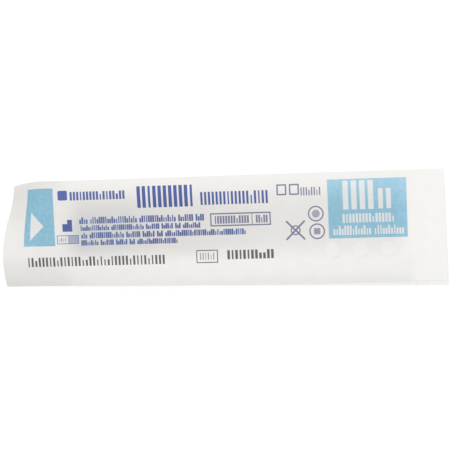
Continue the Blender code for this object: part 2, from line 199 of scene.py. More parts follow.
def new_group(name, kind, inputs, outputs):
    """(tree, its inputs as wires, its output node). An input is given by its default or by its type."""
    tree = bpy.data.node_groups.new(name, kind + "NodeTree")
    for label, default in inputs.items():
        named_type = default if isinstance(default, type) else type(default)
        socket = tree.interface.new_socket(label, in_out="INPUT", socket_type=SOCKETS[named_type])
        if not isinstance(default, type):
            socket.default_value = default
    for label, named_type in outputs.items():
        tree.interface.new_socket(label, in_out="OUTPUT", socket_type=SOCKETS[named_type])
    start, end = tree.nodes.new("NodeGroupInput"), tree.nodes.new("NodeGroupOutput")
    return tree, {label: Wire(tree, start.outputs[label]) for label in inputs}, end

def use_group(tree, group, inputs):
    """The outputs of a node group placed in a tree, by name."""
    node = add_node(tree, tree.bl_idname.replace("Tree", "Group"), inputs, node_tree=group)
    return {socket.name: Wire(tree, socket) for socket in node.outputs}

print("node helpers ready")

# %% [markdown]
# ## Studio
#
# A small pale object needs soft light, or its white paper burns out. The world gives most of the light,
# and more of it low down, where it reaches in under the paper. One wide lamp beyond the pack's upper edge
# makes the falling tab and the sagging margin a little darker, and painted shade in the paper's colour
# adds to that. Rays that come from the camera, or that a glossy or clear surface sends on, see a plain
# white world and floor.

# %% World
scene.view_settings.view_transform = "Standard"
WHITE = (1.0, 1.0, 1.0, 1.0)
TOP_LEVEL, SIDE_LEVEL = 0.52, 1.15
SIDES_END = 0.5

def seen_directly(tree):
    """1 for rays from the camera or sent on by a glossy or clear surface."""
    rays = tree.nodes.new("ShaderNodeLightPath")
    kinds = ("Camera", "Glossy", "Transmission")
    return most([Wire(tree, rays.outputs[f"Is {kind} Ray"]) for kind in kinds])

world = bpy.data.worlds.new("studio")
world.use_nodes = True
scene.world = world
sky = world.node_tree
height = split(sky, add_wire(sky, "ShaderNodeTexCoord", output="Generated"))[2]
light = TOP_LEVEL + (SIDE_LEVEL - TOP_LEVEL) * abs(height).rising(SIDES_END, 0.0)
strength = light + (1.0 - light) * seen_directly(sky)
connect_all(sky, sky.nodes["Background"], {"Color": WHITE, "Strength": strength})
print("world level", TOP_LEVEL, "above and", SIDE_LEVEL, "at the sides")

# %% Lamp and floor
LAMP_PLACE, LAMP_SIZE, LAMP_WATTS = Vector((0.08, 0.27, 0.60)), 0.45, 2.2
FLOOR_HALF, FLOOR_GLOW, GLOW_SHARE = 2.0, 1.13, 0.8
FLOOR_VALUES = {"Base_Color": (0.9, 0.9, 0.9, 1.0), "Roughness": 0.9, "Specular_IOR_Level": 0.0}

def new_finish(name, **values):
    """(material, its node tree, its Principled shader)."""
    finish = bpy.data.materials.new(name)
    finish.use_nodes = True
    shader = finish.node_tree.nodes["Principled BSDF"]
    for label, value in values.items():
        shader.inputs[label.replace("_", " ")].default_value = value
    return finish, finish.node_tree, shader

lamp = new_object("key_lamp", bpy.data.lights.new("key_lamp", "AREA"))
lamp.data.size = LAMP_SIZE
lamp.data.energy = LAMP_WATTS
lamp.location = LAMP_PLACE
lamp.rotation_euler = (-LAMP_PLACE).to_track_quat("-Z", "Y").to_euler()

floor = new_object("floor")
floor_corners = [(x * FLOOR_HALF, y * FLOOR_HALF, 0) for x, y in ((-1, -1), (1, -1), (1, 1), (-1, 1))]
floor.data.from_pydata(floor_corners, [], [(0, 1, 2, 3)])

floor_finish, ground, matt = new_finish("white_floor", **FLOOR_VALUES)
glow = add_wire(ground, "ShaderNodeEmission", {"Color": WHITE, "Strength": FLOOR_GLOW})
mix = {"Fac": GLOW_SHARE * seen_directly(ground), 1: Wire(ground, matt.outputs[0]), 2: glow}
blend = add_wire(ground, "ShaderNodeMixShader", mix)
connect(ground, blend, ground.nodes["Material Output"].inputs["Surface"])
floor.data.materials.append(floor_finish)
print("lamp at", in_mm(LAMP_PLACE), "mm, floor", 2 * FLOOR_HALF, "m wide")

# %% [markdown]
# ## The pack's sizes
#
# These are the solids' sizes in millimetres, written once more because this file can't read theirs.
# Distances along the pack start at the peel edge, and distances across it at the lower edge. CORNER is
# that corner's place. The peel tab isn't sealed, so the film under it stands a little open.

# %% Sizes
LENGTH, WIDTH = 86.0, 21.0
CORNER = Vector((-43.197, -10.015, 0.0)) * MM
SHEET_HEIGHT = 8.269
TAB_LENGTH, TAB_OPENING = 12.0, math.radians(6.0)
POCKET_ALONG, POCKET_ACROSS = (13.5, 79.0), (5.5, 18.4)
POCKET_CORNER, PAPER_CORNER = 4.6, 0.1
SEAL_GAP = 0.1
PAPER_THICKNESS, FILM_THICKNESS = 0.12, 0.15
PRESSED_SPOTS = [(64.5, 6.3), (69.9, 6.3), (75.0, 6.3)]
SPOT_HALF = (1.2, 1.4)
paper_low, paper_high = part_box("paper_lid")
print("paper solid:", in_mm(paper_high - paper_low, 2), "mm")

# %% [markdown]
# ## How the pack lies
#
# The sealed sheet is soft. At the peel tab nothing carries it, so its upper corner falls, and the lower
# margin sags, most at the tab. Both are strips that bend round in an arc and then go on straight. The
# rule is one geometry node group, shared by paper, film and seal pads, so that the layers can't cross.

# %% The lie, as a node group
NO_BEND = 1e-5

def bent(length, turn, bend):
    """(run, drop) of a strip that bends down by turn over the length bend and then goes on straight."""
    arc = length.math("MINIMUM", bend)
    angle = turn * arc / bend + NO_BEND
    tail = length - arc
    radius = arc / angle
    sine, cosine = angle.math("SINE"), angle.math("COSINE")
    return radius * sine + tail * cosine, radius * (1.0 - cosine) + tail * sine

LIE_INPUTS = {
    "Along": 0.0,
    "Across": 0.0,
    "Tab opening": 0.0,
    "Tab length": TAB_LENGTH,
    "Tab bend": 4.9,
    "Tab level width": 4.8,
    "Tab fall": math.radians(34.0),
    "Margin": 6.4,
    "Sag at tab": math.radians(37.0),
    "Sag at far end": math.radians(7.0),
    "Sag length": 40.0,
}
LIE, size, lie_end = new_group("lie of the pack", "Geometry", LIE_INPUTS, {"Place": Vector})
tab_bend, level_width = size["Tab bend"], size["Tab level width"]

tab_share = size["Across"].rising(level_width, WIDTH)
into_tab = (size["Tab length"] - size["Along"]).math("MAXIMUM", 0.0)
tab_turn = size["Tab fall"] * tab_share.smoothed() + size["Tab opening"]
tab_run, tab_drop = bent(into_tab, tab_turn, tab_bend)

into_margin = (size["Margin"] - size["Across"]).math("MAXIMUM", 0.0)
sag_share = (size["Along"] / size["Sag length"]).clamped()
fading = (1.0 - sag_share * sag_share) * (1.0 - sag_share * sag_share)
margin_turn = size["Sag at far end"] + (size["Sag at tab"] - size["Sag at far end"]) * fading
margin_run, margin_drop = bent(into_margin, margin_turn, size["Margin"])

# A twisted tab is a little narrower: half the sum of its lean squared. The soft turn's slope is
# 6 t (1 - t), so the sum holds 6 squared, and "gathered" is what the square of t (1 - t) adds up to.
past_bend = into_tab - tab_bend / 2.0
in_bend = into_tab * into_tab / (2.0 * tab_bend)
arm = past_bend.math("MAXIMUM", 0.0).math("MAXIMUM", in_bend.math("MINIMUM", tab_bend / 2.0))
lean = arm * size["Tab fall"]
cubed = tab_share * tab_share * tab_share
gathered = cubed / 3.0 - cubed * tab_share / 2.0 + cubed * tab_share * tab_share / 5.0
narrowing = lean * lean * (6.0 ** 2 / 2.0) / (WIDTH - level_width) * gathered

lie_x = size["Along"] + into_tab - tab_run
lie_y = size["Across"] + into_margin - margin_run - narrowing
lie_z = SHEET_HEIGHT - tab_drop - margin_drop
placed = joined(LIE, lie_x * MM + CORNER.x, lie_y * MM + CORNER.y, lie_z * MM)
connect(LIE, placed, lie_end.inputs["Place"])
print("lie of the pack:", len(LIE.nodes), "nodes")

# %% [markdown]
# ## Shapes as distances
#
# The pocket, the sheet's outline, the marks pressed into it and nearly all of its print are rectangles
# with round corners. Each is written as a signed distance to its outline, so one short function serves
# both the node trees that bend the sheets and the materials that colour them.

# %% Signed distances

def rounded_box(x, y, half_x, half_y, corner):
    """Signed distance to a rectangle with round corners: below 0 inside it. The centre is at 0, 0."""
    out_x, out_y = abs(x) - (half_x - corner), abs(y) - (half_y - corner)
    beyond_x, beyond_y = out_x.math("MAXIMUM", 0.0), out_y.math("MAXIMUM", 0.0)
    beyond = (beyond_x * beyond_x + beyond_y * beyond_y).math("SQRT")
    return beyond + out_x.math("MAXIMUM", out_y).math("MINIMUM", 0.0) - corner

def box_between(x, y, x_sides, y_sides, corner):
    """The same distance, for a rectangle given by its sides."""
    middle_x, middle_y = sum(x_sides) / 2, sum(y_sides) / 2
    return rounded_box(x - middle_x, y - middle_y, x_sides[1] - middle_x, y_sides[1] - middle_y, corner)

def pocket_distance(x, y):
    """In millimetres, below 0 over the pocket."""
    return box_between(x, y, POCKET_ALONG, POCKET_ACROSS, POCKET_CORNER)

def outline_distance(x, y):
    """In millimetres, below 0 on the paper."""
    return box_between(x, y, (0.0, LENGTH), (0.0, WIDTH), PAPER_CORNER)

def pressed_spots(x, y, softness):
    """1 on the small round marks that the tool left beside the pocket."""
    spots = [rounded_box(x - at_x, y - at_y, *SPOT_HALF, SPOT_HALF[0]) for at_x, at_y in PRESSED_SPOTS]
    return most([spot.covers(softness) for spot in spots])

print("pocket", POCKET_ALONG, "by", POCKET_ACROSS, "mm,", len(PRESSED_SPOTS), "pressed spots")

# %% [markdown]
# ## Shader groups that several materials share
#
# Fine grain breaks up every surface, so it is a group: a cloudy colour factor, a roughness and a height,
# each at its own scale. The heat seal's pattern is pressed into paper and film alike, so it is a second
# group, which reads the distance along and across that each sheet carries as an attribute.

# %% Grain group

def noise(tree, place, size_mm, detail=2.0, stretch=None):
    """Noise round 0.5 with features of about this size, all in millimetres."""
    if stretch:
        place = add_wire(tree, "ShaderNodeVectorMath", {0: place, 1: stretch}, operation="MULTIPLY")
    inputs = {"Vector": place, "Scale": 1.0 / size_mm, "Detail": detail}
    return add_wire(tree, "ShaderNodeTexNoise", inputs)

GRAIN_INPUTS = {"Place": Vector, "Cloud size": 1.0, "Cloud depth": 0.05, "Grain size": 0.1}
GRAIN_INPUTS |= {"Roughness": 0.5, "Roughness spread": 0.1}
GRAIN_OUTPUTS = {"Tone": float, "Roughness": float, "Height": float}
GRAIN, grain, grain_end = new_group("surface grain", "Shader", GRAIN_INPUTS, GRAIN_OUTPUTS)
clouds = noise(GRAIN, grain["Place"], grain["Cloud size"], detail=4.0)
specks = noise(GRAIN, grain["Place"], grain["Grain size"])
toned = 1.0 + (clouds - 0.5) * grain["Cloud depth"] * 2.0
rough = grain["Roughness"] + (clouds + specks - 1.0) * grain["Roughness spread"]
connect_all(GRAIN, grain_end, {"Tone": toned, "Roughness": rough.clamped(), "Height": specks})
print("group:", GRAIN.name, len(GRAIN.nodes), "nodes")

# %% Seal group
SEAL_PITCH, SEAL_EDGE, PEEL_EDGE = 1.3, 0.25, 1.0
SEAL_FROM_POCKET, SEAL_FROM_OUTLINE = 0.9, 0.35
TAB_FADE, POCKET_FADE = (11.0, 15.0), (2.0, -2.2)

SEAL_INPUTS = {"Along": 0.0, "Across": 0.0}
SEAL_OUTPUTS = {"Height": float, "Over pocket": float, "Past tab": float}
SEAL, seal, seal_end = new_group("heat seal", "Shader", SEAL_INPUTS, SEAL_OUTPUTS)
seal_x, seal_y = seal["Along"], seal["Across"]
to_pocket, to_outline = pocket_distance(seal_x, seal_y), outline_distance(seal_x, seal_y)
sealed = to_pocket.rising(SEAL_FROM_POCKET, SEAL_FROM_POCKET + SEAL_EDGE)
sealed = sealed * to_outline.rising(-SEAL_FROM_OUTLINE, -SEAL_FROM_OUTLINE - SEAL_EDGE)
sealed = sealed * seal_x.rising(TAB_LENGTH, TAB_LENGTH + PEEL_EDGE)
diagonal = (seal_x + seal_y) * (math.pi / SEAL_PITCH)
counter = (seal_x - seal_y) * (math.pi / SEAL_PITCH)
waffle = abs(diagonal.math("SINE") * counter.math("SINE")).math("POWER", 0.6)
connect_all(SEAL, seal_end, {
    "Height": waffle * sealed,
    "Over pocket": to_pocket.rising(*POCKET_FADE).smoothed(),
    "Past tab": seal_x.rising(*TAB_FADE).smoothed(),
})
print("group:", SEAL.name, len(SEAL.nodes), "nodes")

# %% [markdown]
# ## Print shapes
#
# The lid's print is fields of colour, frames, rings and rows of small marks. No mark is a letter: a row
# is a line of cells, and each cell draws by its own random numbers one upright bar, long or short, thick
# or thin, or stays empty, which looks like a line of print from the usual distance. Both shapes are
# groups of signed distances, so their edges stay crisp at any size.

# %% Mark group
INK_EDGE = 0.035
MARK_INPUTS = {"Along": 0.0, "Across": 0.0, "Middle along": 0.0, "Middle across": 0.0}
MARK_INPUTS |= {"Half length": 1.0, "Half height": 1.0, "Corner": 0.1, "Line": 0.2}
MARK_OUTPUTS = {"Solid": float, "Frame": float}
MARK, mark, mark_end = new_group("print mark", "Shader", MARK_INPUTS, MARK_OUTPUTS)
mark_x, mark_y = mark["Along"] - mark["Middle along"], mark["Across"] - mark["Middle across"]
edge = rounded_box(mark_x, mark_y, mark["Half length"], mark["Half height"], mark["Corner"])
in_line = abs(edge + mark["Line"] / 2.0) - mark["Line"] / 2.0
connect_all(MARK, mark_end, {"Solid": edge.covers(INK_EDGE), "Frame": in_line.covers(INK_EDGE)})
print("group:", MARK.name, len(MARK.nodes), "nodes")

# %% Row group
SHORT_LOSS, THIN_LOSS, BAR_CORNER = 0.34, 0.17, 0.12
ROW_INPUTS = {"Along": 0.0, "Across": 0.0, "Start": 0.0, "Base": 0.0, "Length": 10.0, "Height": 1.0}
ROW_INPUTS |= {"Pitch": 0.4, "Line": 0.2, "Filled": 0.85, "Short": 0.5, "Thin": 0.3, "Seed": 0.0}
ROW, row, row_end = new_group("print row", "Shader", ROW_INPUTS, {"Ink": float})
steps = (row["Along"] - row["Start"]) / row["Pitch"]
number = steps.math("FLOOR")
seeded = {"W": number + row["Seed"]}
dice = add_wire(ROW, "ShaderNodeTexWhiteNoise", seeded, "Color", noise_dimensions="1D")
dice_thin, dice_short, dice_filled = split(ROW, dice)
bar_height = row["Height"] * (1.0 - SHORT_LOSS * dice_short.math("LESS_THAN", row["Short"]))
bar_half = row["Line"] * (0.5 - THIN_LOSS * dice_thin.math("LESS_THAN", row["Thin"]))
from_middle = (steps - number - 0.5) * row["Pitch"]
from_centre = row["Across"] - row["Base"] - bar_height / 2.0
bar = rounded_box(from_middle, from_centre, bar_half, bar_height / 2.0, row["Line"] * BAR_CORNER)
past_start = number.math("GREATER_THAN", -0.5)
before_end = (number + 0.99).math("LESS_THAN", row["Length"] / row["Pitch"])
drawn = dice_filled.math("LESS_THAN", row["Filled"]) * past_start * before_end
connect(ROW, bar.covers(INK_EDGE) * drawn, row_end.inputs["Ink"])
print("group:", ROW.name, len(ROW.nodes), "nodes")

# %% [markdown]
# ## Paper
#
# The lid is coated medical paper: bright, matt, a little cloudy. The seal's waffle pattern is pressed
# faintly into it. Over the pocket, where nothing white lies behind it, painted shade darkens it and a
# painted trace of the hub's blue shows through. Painted shade also darkens the falling tab and its lower
# edge, and painted light brightens the far seal and the small pressed spots, whose creases get painted
# shadows. The print's layout is measured from the photograph, in millimetres along and across the lid.

# %% Material helpers
ON_SHEET = "on_sheet"

def ink(red, green, blue):
    """A screen's colour, 0 to 255, made linear for the shader."""
    def linear(value):
        value /= 255.0
        return value / 12.92 if value <= 0.04045 else ((value + 0.055) / 1.055) ** 2.4
    return linear(red), linear(green), linear(blue), 1.0

def place_in_mm(tree):
    return scaled(tree, add_wire(tree, "ShaderNodeTexCoord", output="Object"), 1000.0)

def place_on_sheet(tree):
    """(along, across) in millimetres, from the attribute that a sheet carries."""
    place = add_wire(tree, "ShaderNodeAttribute", output="Vector", attribute_name=ON_SHEET)
    return split(tree, place)[:2]

def grained(tree, cloud_size, cloud_depth, grain_size, roughness, spread):
    """The grain group's outputs on this material, with sizes in millimetres."""
    inputs = {"Place": place_in_mm(tree), "Cloud size": cloud_size, "Cloud depth": cloud_depth}
    inputs |= {"Grain size": grain_size, "Roughness": roughness, "Roughness spread": spread}
    return use_group(tree, GRAIN, inputs)

def mixed(tree, share, below, above):
    """The colour below, with the one above laid over it by the share."""
    return add_wire(tree, "ShaderNodeMix", {0: share, 6: below, 7: above}, 2, data_type="RGBA")

def tinted(tree, shader, colour, tone):
    """Links one colour to the shader, times a tone that varies."""
    flat = add_node(tree, "ShaderNodeRGB")
    flat.outputs[0].default_value = colour
    connect(tree, scaled(tree, Wire(tree, flat.outputs[0]), tone), shader.inputs["Base Color"])

def edge_on(tree, blend):
    """0 where a face is seen square on, rising to 1 where it is seen edge on."""
    facing = add_wire(tree, "ShaderNodeLayerWeight", {"Blend": blend}, "Facing")
    return facing * facing

def see_through(tree, shader, body, shade):
    """Links how solid a clear plastic looks. Its shadow is only this share as solid."""
    shadow_ray = add_wire(tree, "ShaderNodeLightPath", output="Is Shadow Ray")
    connect(tree, body.clamped() * (1.0 - (1.0 - shade) * shadow_ray), shader.inputs["Alpha"])

def bumped(tree, shader, height, depth_mm, strength=0.6):
    """Links a height of 0 to 1 to the normal, as this many millimetres of relief."""
    inputs = {"Height": height, "Distance": depth_mm * MM, "Strength": strength}
    connect(tree, add_wire(tree, "ShaderNodeBump", inputs, "Normal"), shader.inputs["Normal"])

# %% Print helpers
printed_paper, lid, lid_shader = new_finish("printed_paper", Specular_IOR_Level=0.3)
along, across = place_on_sheet(lid)

def mark_at(x, y, half_x, half_y, corner=0.05, line=0.0):
    """A solid mark, or its frame if the line has a width."""
    inputs = {"Along": along, "Across": across, "Middle along": x, "Middle across": y}
    inputs |= {"Half length": half_x, "Half height": half_y, "Corner": corner, "Line": line}
    return use_group(lid, MARK, inputs)["Frame" if line else "Solid"]

def field(left, right, low, high, **look):
    """A mark given by its four sides."""
    return mark_at((left + right) / 2, (low + high) / 2, (right - left) / 2, (high - low) / 2, **look)

def print_row(left, right, low, high, bars, line, filled=1.0, short=0.5, thin=0.3, seed=0.0):
    """A row of upright bars between four sides, with this many places."""
    inputs = {"Along": along, "Across": across, "Start": left, "Base": low, "Length": right - left + 0.01}
    inputs |= {"Height": high - low, "Pitch": (right - left) / bars, "Line": line, "Filled": filled}
    inputs |= {"Short": short, "Thin": thin, "Seed": seed}
    return use_group(lid, ROW, inputs)["Ink"]

# %% Blue fields and their white print
ARROW_TIP, ARROW_BACK, ARROW_MIDDLE, ARROW_SLOPE = 8.5, 5.6, 12.25, 2.75 / 2.9
triangle_sides = abs(across - ARROW_MIDDLE) - (ARROW_TIP - along) * ARROW_SLOPE
white_marks = most([
    triangle_sides.covers(INK_EDGE) * (ARROW_BACK - along).covers(INK_EDGE),
    print_row(66.7, 73.0, 13.8, 19.3, 4, 1.02, short=0.0, thin=0.0, seed=1.0),
    print_row(73.3, 76.3, 13.85, 17.7, 2, 0.9, short=0.0, thin=0.0, seed=1.0),
    print_row(66.7, 76.6, 11.3, 13.0, 16, 0.42, filled=0.95, short=0.2, seed=3.0),
    print_row(64.9, 78.35, 9.0, 10.75, 26, 0.37, filled=0.96, short=0.5, seed=11.0),
])
blue_fields = most([field(4.3, 10.75, 8.35, 19.6), field(64.1, 78.95, 8.4, 19.6)])
print("two blue fields:", len(lid.nodes), "nodes")

# %% Blue and black print
deep_print = most([
    print_row(27.2, 38.5, 15.3, 19.5, 11, 0.68, short=0.1, thin=0.15, seed=2.0),
    print_row(39.6, 52.9, 15.5, 18.0, 18, 0.42, short=0.15, seed=5.0),
    field(12.35, 13.5, 11.1, 12.6),
    field(13.35, 14.3, 11.1, 13.4),
])
blue_print = most([
    mark_at(12.65, 18.15, 0.95, 0.95, corner=0.3),
    print_row(14.0, 25.1, 17.15, 18.8, 17, 0.44, short=0.05, thin=0.2, seed=9.0),
    print_row(15.7, 40.3, 12.5, 13.8, 58, 0.35, filled=0.92, short=0.4, seed=21.0),
    print_row(15.85, 39.5, 11.15, 12.2, 62, 0.33, filled=0.92, short=0.35, seed=33.0),
    print_row(15.95, 48.3, 9.65, 10.8, 80, 0.35, filled=0.92, short=0.35, seed=45.0),
    print_row(15.9, 35.0, 8.3, 9.35, 50, 0.34, filled=0.92, short=0.35, seed=57.0),
    field(11.15, 15.5, 8.7, 10.4, line=0.13),
    field(13.35, 15.5, 8.7, 10.4) * 0.55,
    print_row(11.5, 13.1, 9.15, 9.95, 4, 0.16, seed=61.0),
])
black_print = most([
    print_row(4.9, 32.45, 4.35, 6.15, 38, 0.4, filled=0.96, short=0.25, seed=91.0),
    field(38.5, 42.7, 4.35, 6.85, line=0.18),
    print_row(39.05, 42.15, 4.95, 6.3, 6, 0.2, short=0.2, seed=95.0) * 0.75,
    print_row(44.4, 53.6, 4.95, 6.7, 12, 0.5, short=0.1, thin=0.15, seed=98.0),
])
print("blue and black print:", len(lid.nodes), "nodes")

# %% Frames, rings and cross
CROSS = (57.8, 10.15)
STROKE_HALF, STROKE_CORNER, SLANT = (2.55, 0.17), 0.15, 0.7071
cross_x, cross_y = along - CROSS[0], across - CROSS[1]
slants = [(cross_x + cross_y) * SLANT, (cross_x - cross_y) * SLANT]
strokes = [rounded_box(x, y, *STROKE_HALF, STROKE_CORNER) for x, y in (slants, slants[::-1])]
label_print = most([
    *(stroke.covers(INK_EDGE) for stroke in strokes),
    mark_at(*CROSS, 0.95, 0.95, corner=0.95, line=0.24),
    field(41.45, 53.15, 11.3, 13.85, line=0.26),
    field(49.46, 49.62, 11.3, 13.85),
    print_row(42.2, 49.0, 11.8, 13.3, 13, 0.36, short=0.05, thin=0.2, seed=71.0),
    print_row(50.2, 52.6, 11.8, 13.3, 5, 0.34, short=0.05, thin=0.2, seed=77.0),
    mark_at(55.4, 17.95, 0.95, 1.05, corner=0.15, line=0.28),
    mark_at(57.8, 17.95, 0.95, 1.05, corner=0.15, line=0.28),
    print_row(58.9, 62.9, 16.75, 18.3, 8, 0.24, short=0.2, seed=83.0),
    mark_at(61.75, 13.2, 1.5, 1.5, corner=1.5, line=0.26),
    mark_at(61.75, 13.2, 0.75, 0.75, corner=0.75) * 0.7,
    mark_at(61.9, 9.85, 1.5, 1.5, corner=1.5, line=0.26),
    mark_at(61.9, 9.85, 0.6, 0.6, corner=0.1) * 0.8,
])
print("all print:", len(lid.nodes), "nodes")

# %% Paper colour
PAPER_WHITE, BLACK_INK = ink(245, 243, 240), ink(68, 64, 60)
LEFT_BLUE, RIGHT_BLUE, THIN_BLUE = ink(143, 194, 217), ink(148, 199, 222), ink(174, 213, 232)
DEEP_BLUE, DARK_BLUE, LABEL_BLUE = ink(62, 86, 160), ink(74, 96, 168), ink(92, 96, 142)
WHITE_COVER, THIN_ABOVE = 0.88, 0.6

on_right = along.rising(30.0, 40.0)
mottle = noise(lid, place_in_mm(lid), 0.9, detail=3.0).rising(0.42, 1.045)
thinner = (mottle + THIN_ABOVE * on_right * across.rising(14.0, 19.0)).clamped()
field_ink = mixed(lid, thinner, mixed(lid, on_right, LEFT_BLUE, RIGHT_BLUE), THIN_BLUE)
colour = mixed(lid, blue_fields * (1.0 - WHITE_COVER * white_marks), PAPER_WHITE, field_ink)
# Painted shade: a faint trace of the hub's blue, as if seen through the paper above it.
painted_hub_show_through = rounded_box(along - 21.0, across - 11.0, 9.0, 6.0, 5.0).rising(0.0, -4.0).smoothed()
for layer, cover, layer_ink in (
    (deep_print, 0.95, DEEP_BLUE),
    (blue_print, 0.95, DARK_BLUE),
    (label_print, 0.85, LABEL_BLUE),
    (black_print, 0.92, BLACK_INK),
    (painted_hub_show_through, 0.1, ink(160, 196, 228)),
):
    colour = mixed(lid, layer * cover, colour, layer_ink)
print("paper colour:", len(lid.nodes), "nodes")

# %% Paper's painted shade and light
# Painted shade and light over the pocket, on the falling tab, along the lower edge, at the far seal and
# on the pressed spots: a shade is a share taken off the paper's tone, a light is one added to it, and a
# loss weakens a shade. WAFFLE_SHADE darkens the seal's pressed pattern a little.
NEEDLE_SHADE, FAR_NEEDLE_LOSS, UPPER_NEEDLE_LOSS = 0.27, 0.13, 0.42
TAB_SHADE, TAB_CORNER_SHADE, LOW_EDGE_SHADE = 0.075, 0.055, 0.055
CREASE_SHADE, WAFFLE_SHADE = 0.1, 0.01
FAR_SEAL_LIGHT, FAR_CORNER_LIGHT, SPOT_LIGHT = 0.025, 0.03, 0.04

on_seal = use_group(lid, SEAL, {"Along": along, "Across": across})
fibre = grained(lid, cloud_size=2.6, cloud_depth=0.035, grain_size=0.16, roughness=0.62, spread=0.12)
# Painted shade over the pocket, weaker further along and towards the upper seal, fading in past the tab.
pocket_shade_area = rounded_box(along - 43.0, across - 12.25, 35.0, 6.15, 3.5).rising(2.2, -2.2).smoothed()
painted_pocket_shade = (NEEDLE_SHADE - FAR_NEEDLE_LOSS * along.rising(15.0, 55.0)) * pocket_shade_area
painted_pocket_shade = painted_pocket_shade * (1.0 - UPPER_NEEDLE_LOSS * across.rising(12.0, 18.0).smoothed())
painted_pocket_shade = painted_pocket_shade * along.rising(10.6, 16.6).smoothed()
# Painted shade on the falling tab, more at its upper corner.
tab_corner = across.rising(8.0, 18.0).smoothed() * along.rising(7.0, 3.0) * across.rising(21.0, 19.0)
painted_tab_shade = (1.0 - on_seal["Past tab"]) * (TAB_SHADE + TAB_CORNER_SHADE * tab_corner)
# Painted shade along the sagging lower edge, and painted light at the far seal.
at_far_seal = along.rising(78.5, 81.0).smoothed()
painted_low_edge_shade = LOW_EDGE_SHADE * across.rising(2.6, 0.0).smoothed() * along.rising(28.0, 36.0)
painted_low_edge_shade = painted_low_edge_shade * (1.0 - at_far_seal)
painted_far_seal_light = at_far_seal * (FAR_SEAL_LIGHT + FAR_CORNER_LIGHT * across.rising(6.0, 0.0))
# Painted light on the pressed spots, and painted shadows in short creases just below them.
painted_crease_shadows = most([mark_at(x + 1.0, y - 1.35, 0.5, 0.07, corner=0.07) for x, y in PRESSED_SPOTS])
painted_spot_light_and_shadow = SPOT_LIGHT * pressed_spots(along, across, 0.2) - CREASE_SHADE * painted_crease_shadows
tone = fibre["Tone"] * (1.0 - painted_pocket_shade) * (1.0 - painted_tab_shade) * (1.0 - painted_low_edge_shade + painted_far_seal_light)
tone = tone * (1.0 + painted_spot_light_and_shadow) * (1.0 - WAFFLE_SHADE * on_seal["Height"])
connect(lid, scaled(lid, colour, tone), lid_shader.inputs["Base Color"])
print("printed paper:", len(lid.nodes), "nodes")

# %% Paper gloss, relief and back
INK_GLOSS = 0.12
FIBRE_RELIEF, WAFFLE_RELIEF, COCKLE_RELIEF = 0.4, 0.5, 2.2
all_ink = most([deep_print, blue_print, black_print])
connect(lid, fibre["Roughness"] - INK_GLOSS * all_ink, lid_shader.inputs["Roughness"])
cockles = noise(lid, place_in_mm(lid), 4.0)
relief = fibre["Height"] * FIBRE_RELIEF + on_seal["Height"] * WAFFLE_RELIEF + COCKLE_RELIEF * cockles
bumped(lid, lid_shader, relief, depth_mm=0.03, strength=0.5)

plain_paper, back, back_shader = new_finish("plain_paper", Specular_IOR_Level=0.2)
felt = grained(back, cloud_size=1.4, cloud_depth=0.05, grain_size=0.12, roughness=0.85, spread=0.08)
tinted(back, back_shader, ink(250, 248, 245), felt["Tone"])
connect(back, felt["Roughness"], back_shader.inputs["Roughness"])
bumped(back, back_shader, felt["Height"], depth_mm=0.02)
print("paper finishes ready")

# %% [markdown]
# ## Clear film
#
# The film is clear and glossy, with a faint haze and the soft waves that forming leaves. Real refraction
# shows next to nothing in so thin a shell, so the film is partly transparent instead, and more solid where
# it is seen edge on, which draws the pocket's corners. The flange wasn't drawn thin, so it shows more, and
# its sealed band carries the waffle pattern.

# %% Film finish
CLEAR_BODY, EDGE_BODY, FLANGE_BODY, WAFFLE_BODY = 0.06, 0.6, 0.2, 0.06
FILM_VALUES = {"IOR": 1.5, "Coat_Weight": 0.4, "Coat_Roughness": 0.05}
clear_film, film, film_shader = new_finish("clear_peel_film", **FILM_VALUES)
film_along, film_across = place_on_sheet(film)
film_seal = use_group(film, SEAL, {"Along": film_along, "Across": film_across})
haze = grained(film, cloud_size=3.0, cloud_depth=0.05, grain_size=0.3, roughness=0.12, spread=0.08)
flange = 1.0 - film_seal["Over pocket"]
body = CLEAR_BODY + EDGE_BODY * edge_on(film, 0.25) + FLANGE_BODY * flange
see_through(film, film_shader, body + WAFFLE_BODY * film_seal["Height"], shade=0.25)
tinted(film, film_shader, ink(228, 227, 224), haze["Tone"])
connect(film, haze["Roughness"] + 0.25 * film_seal["Height"], film_shader.inputs["Roughness"])
waves = noise(film, place_in_mm(film), 4.0, detail=1.0) + 0.5 * film_seal["Height"]
bumped(film, film_shader, waves, depth_mm=0.12)
print("film finish ready")

# %% [markdown]
# ## Needle finishes
#
# The sheath is natural polypropylene: milky, waxy, and the needle shows through it as a grey line. The
# hub is the same plastic dyed deep blue, the colour of its gauge. Both are moulded, with a fine satin
# grain. The cannula is drawn steel with lines along it, and the adhesive is a clear amber drop.

# %% Moulded plastic, steel and adhesive

def moulded(name, colour, roughness, cloud_depth, **values):
    """(material, tree, shader) of a moulded plastic with slight flow lines."""
    finish, tree, shader = new_finish(name, **values)
    skin = grained(tree, 1.1, cloud_depth, grain_size=0.07, roughness=roughness, spread=0.12)
    tinted(tree, shader, colour, skin["Tone"])
    connect(tree, skin["Roughness"], shader.inputs["Roughness"])
    flow = noise(tree, place_in_mm(tree), 0.35, stretch=(0.15, 1.0, 1.0))
    bumped(tree, shader, skin["Height"] + flow, depth_mm=0.012)
    return finish, tree, shader

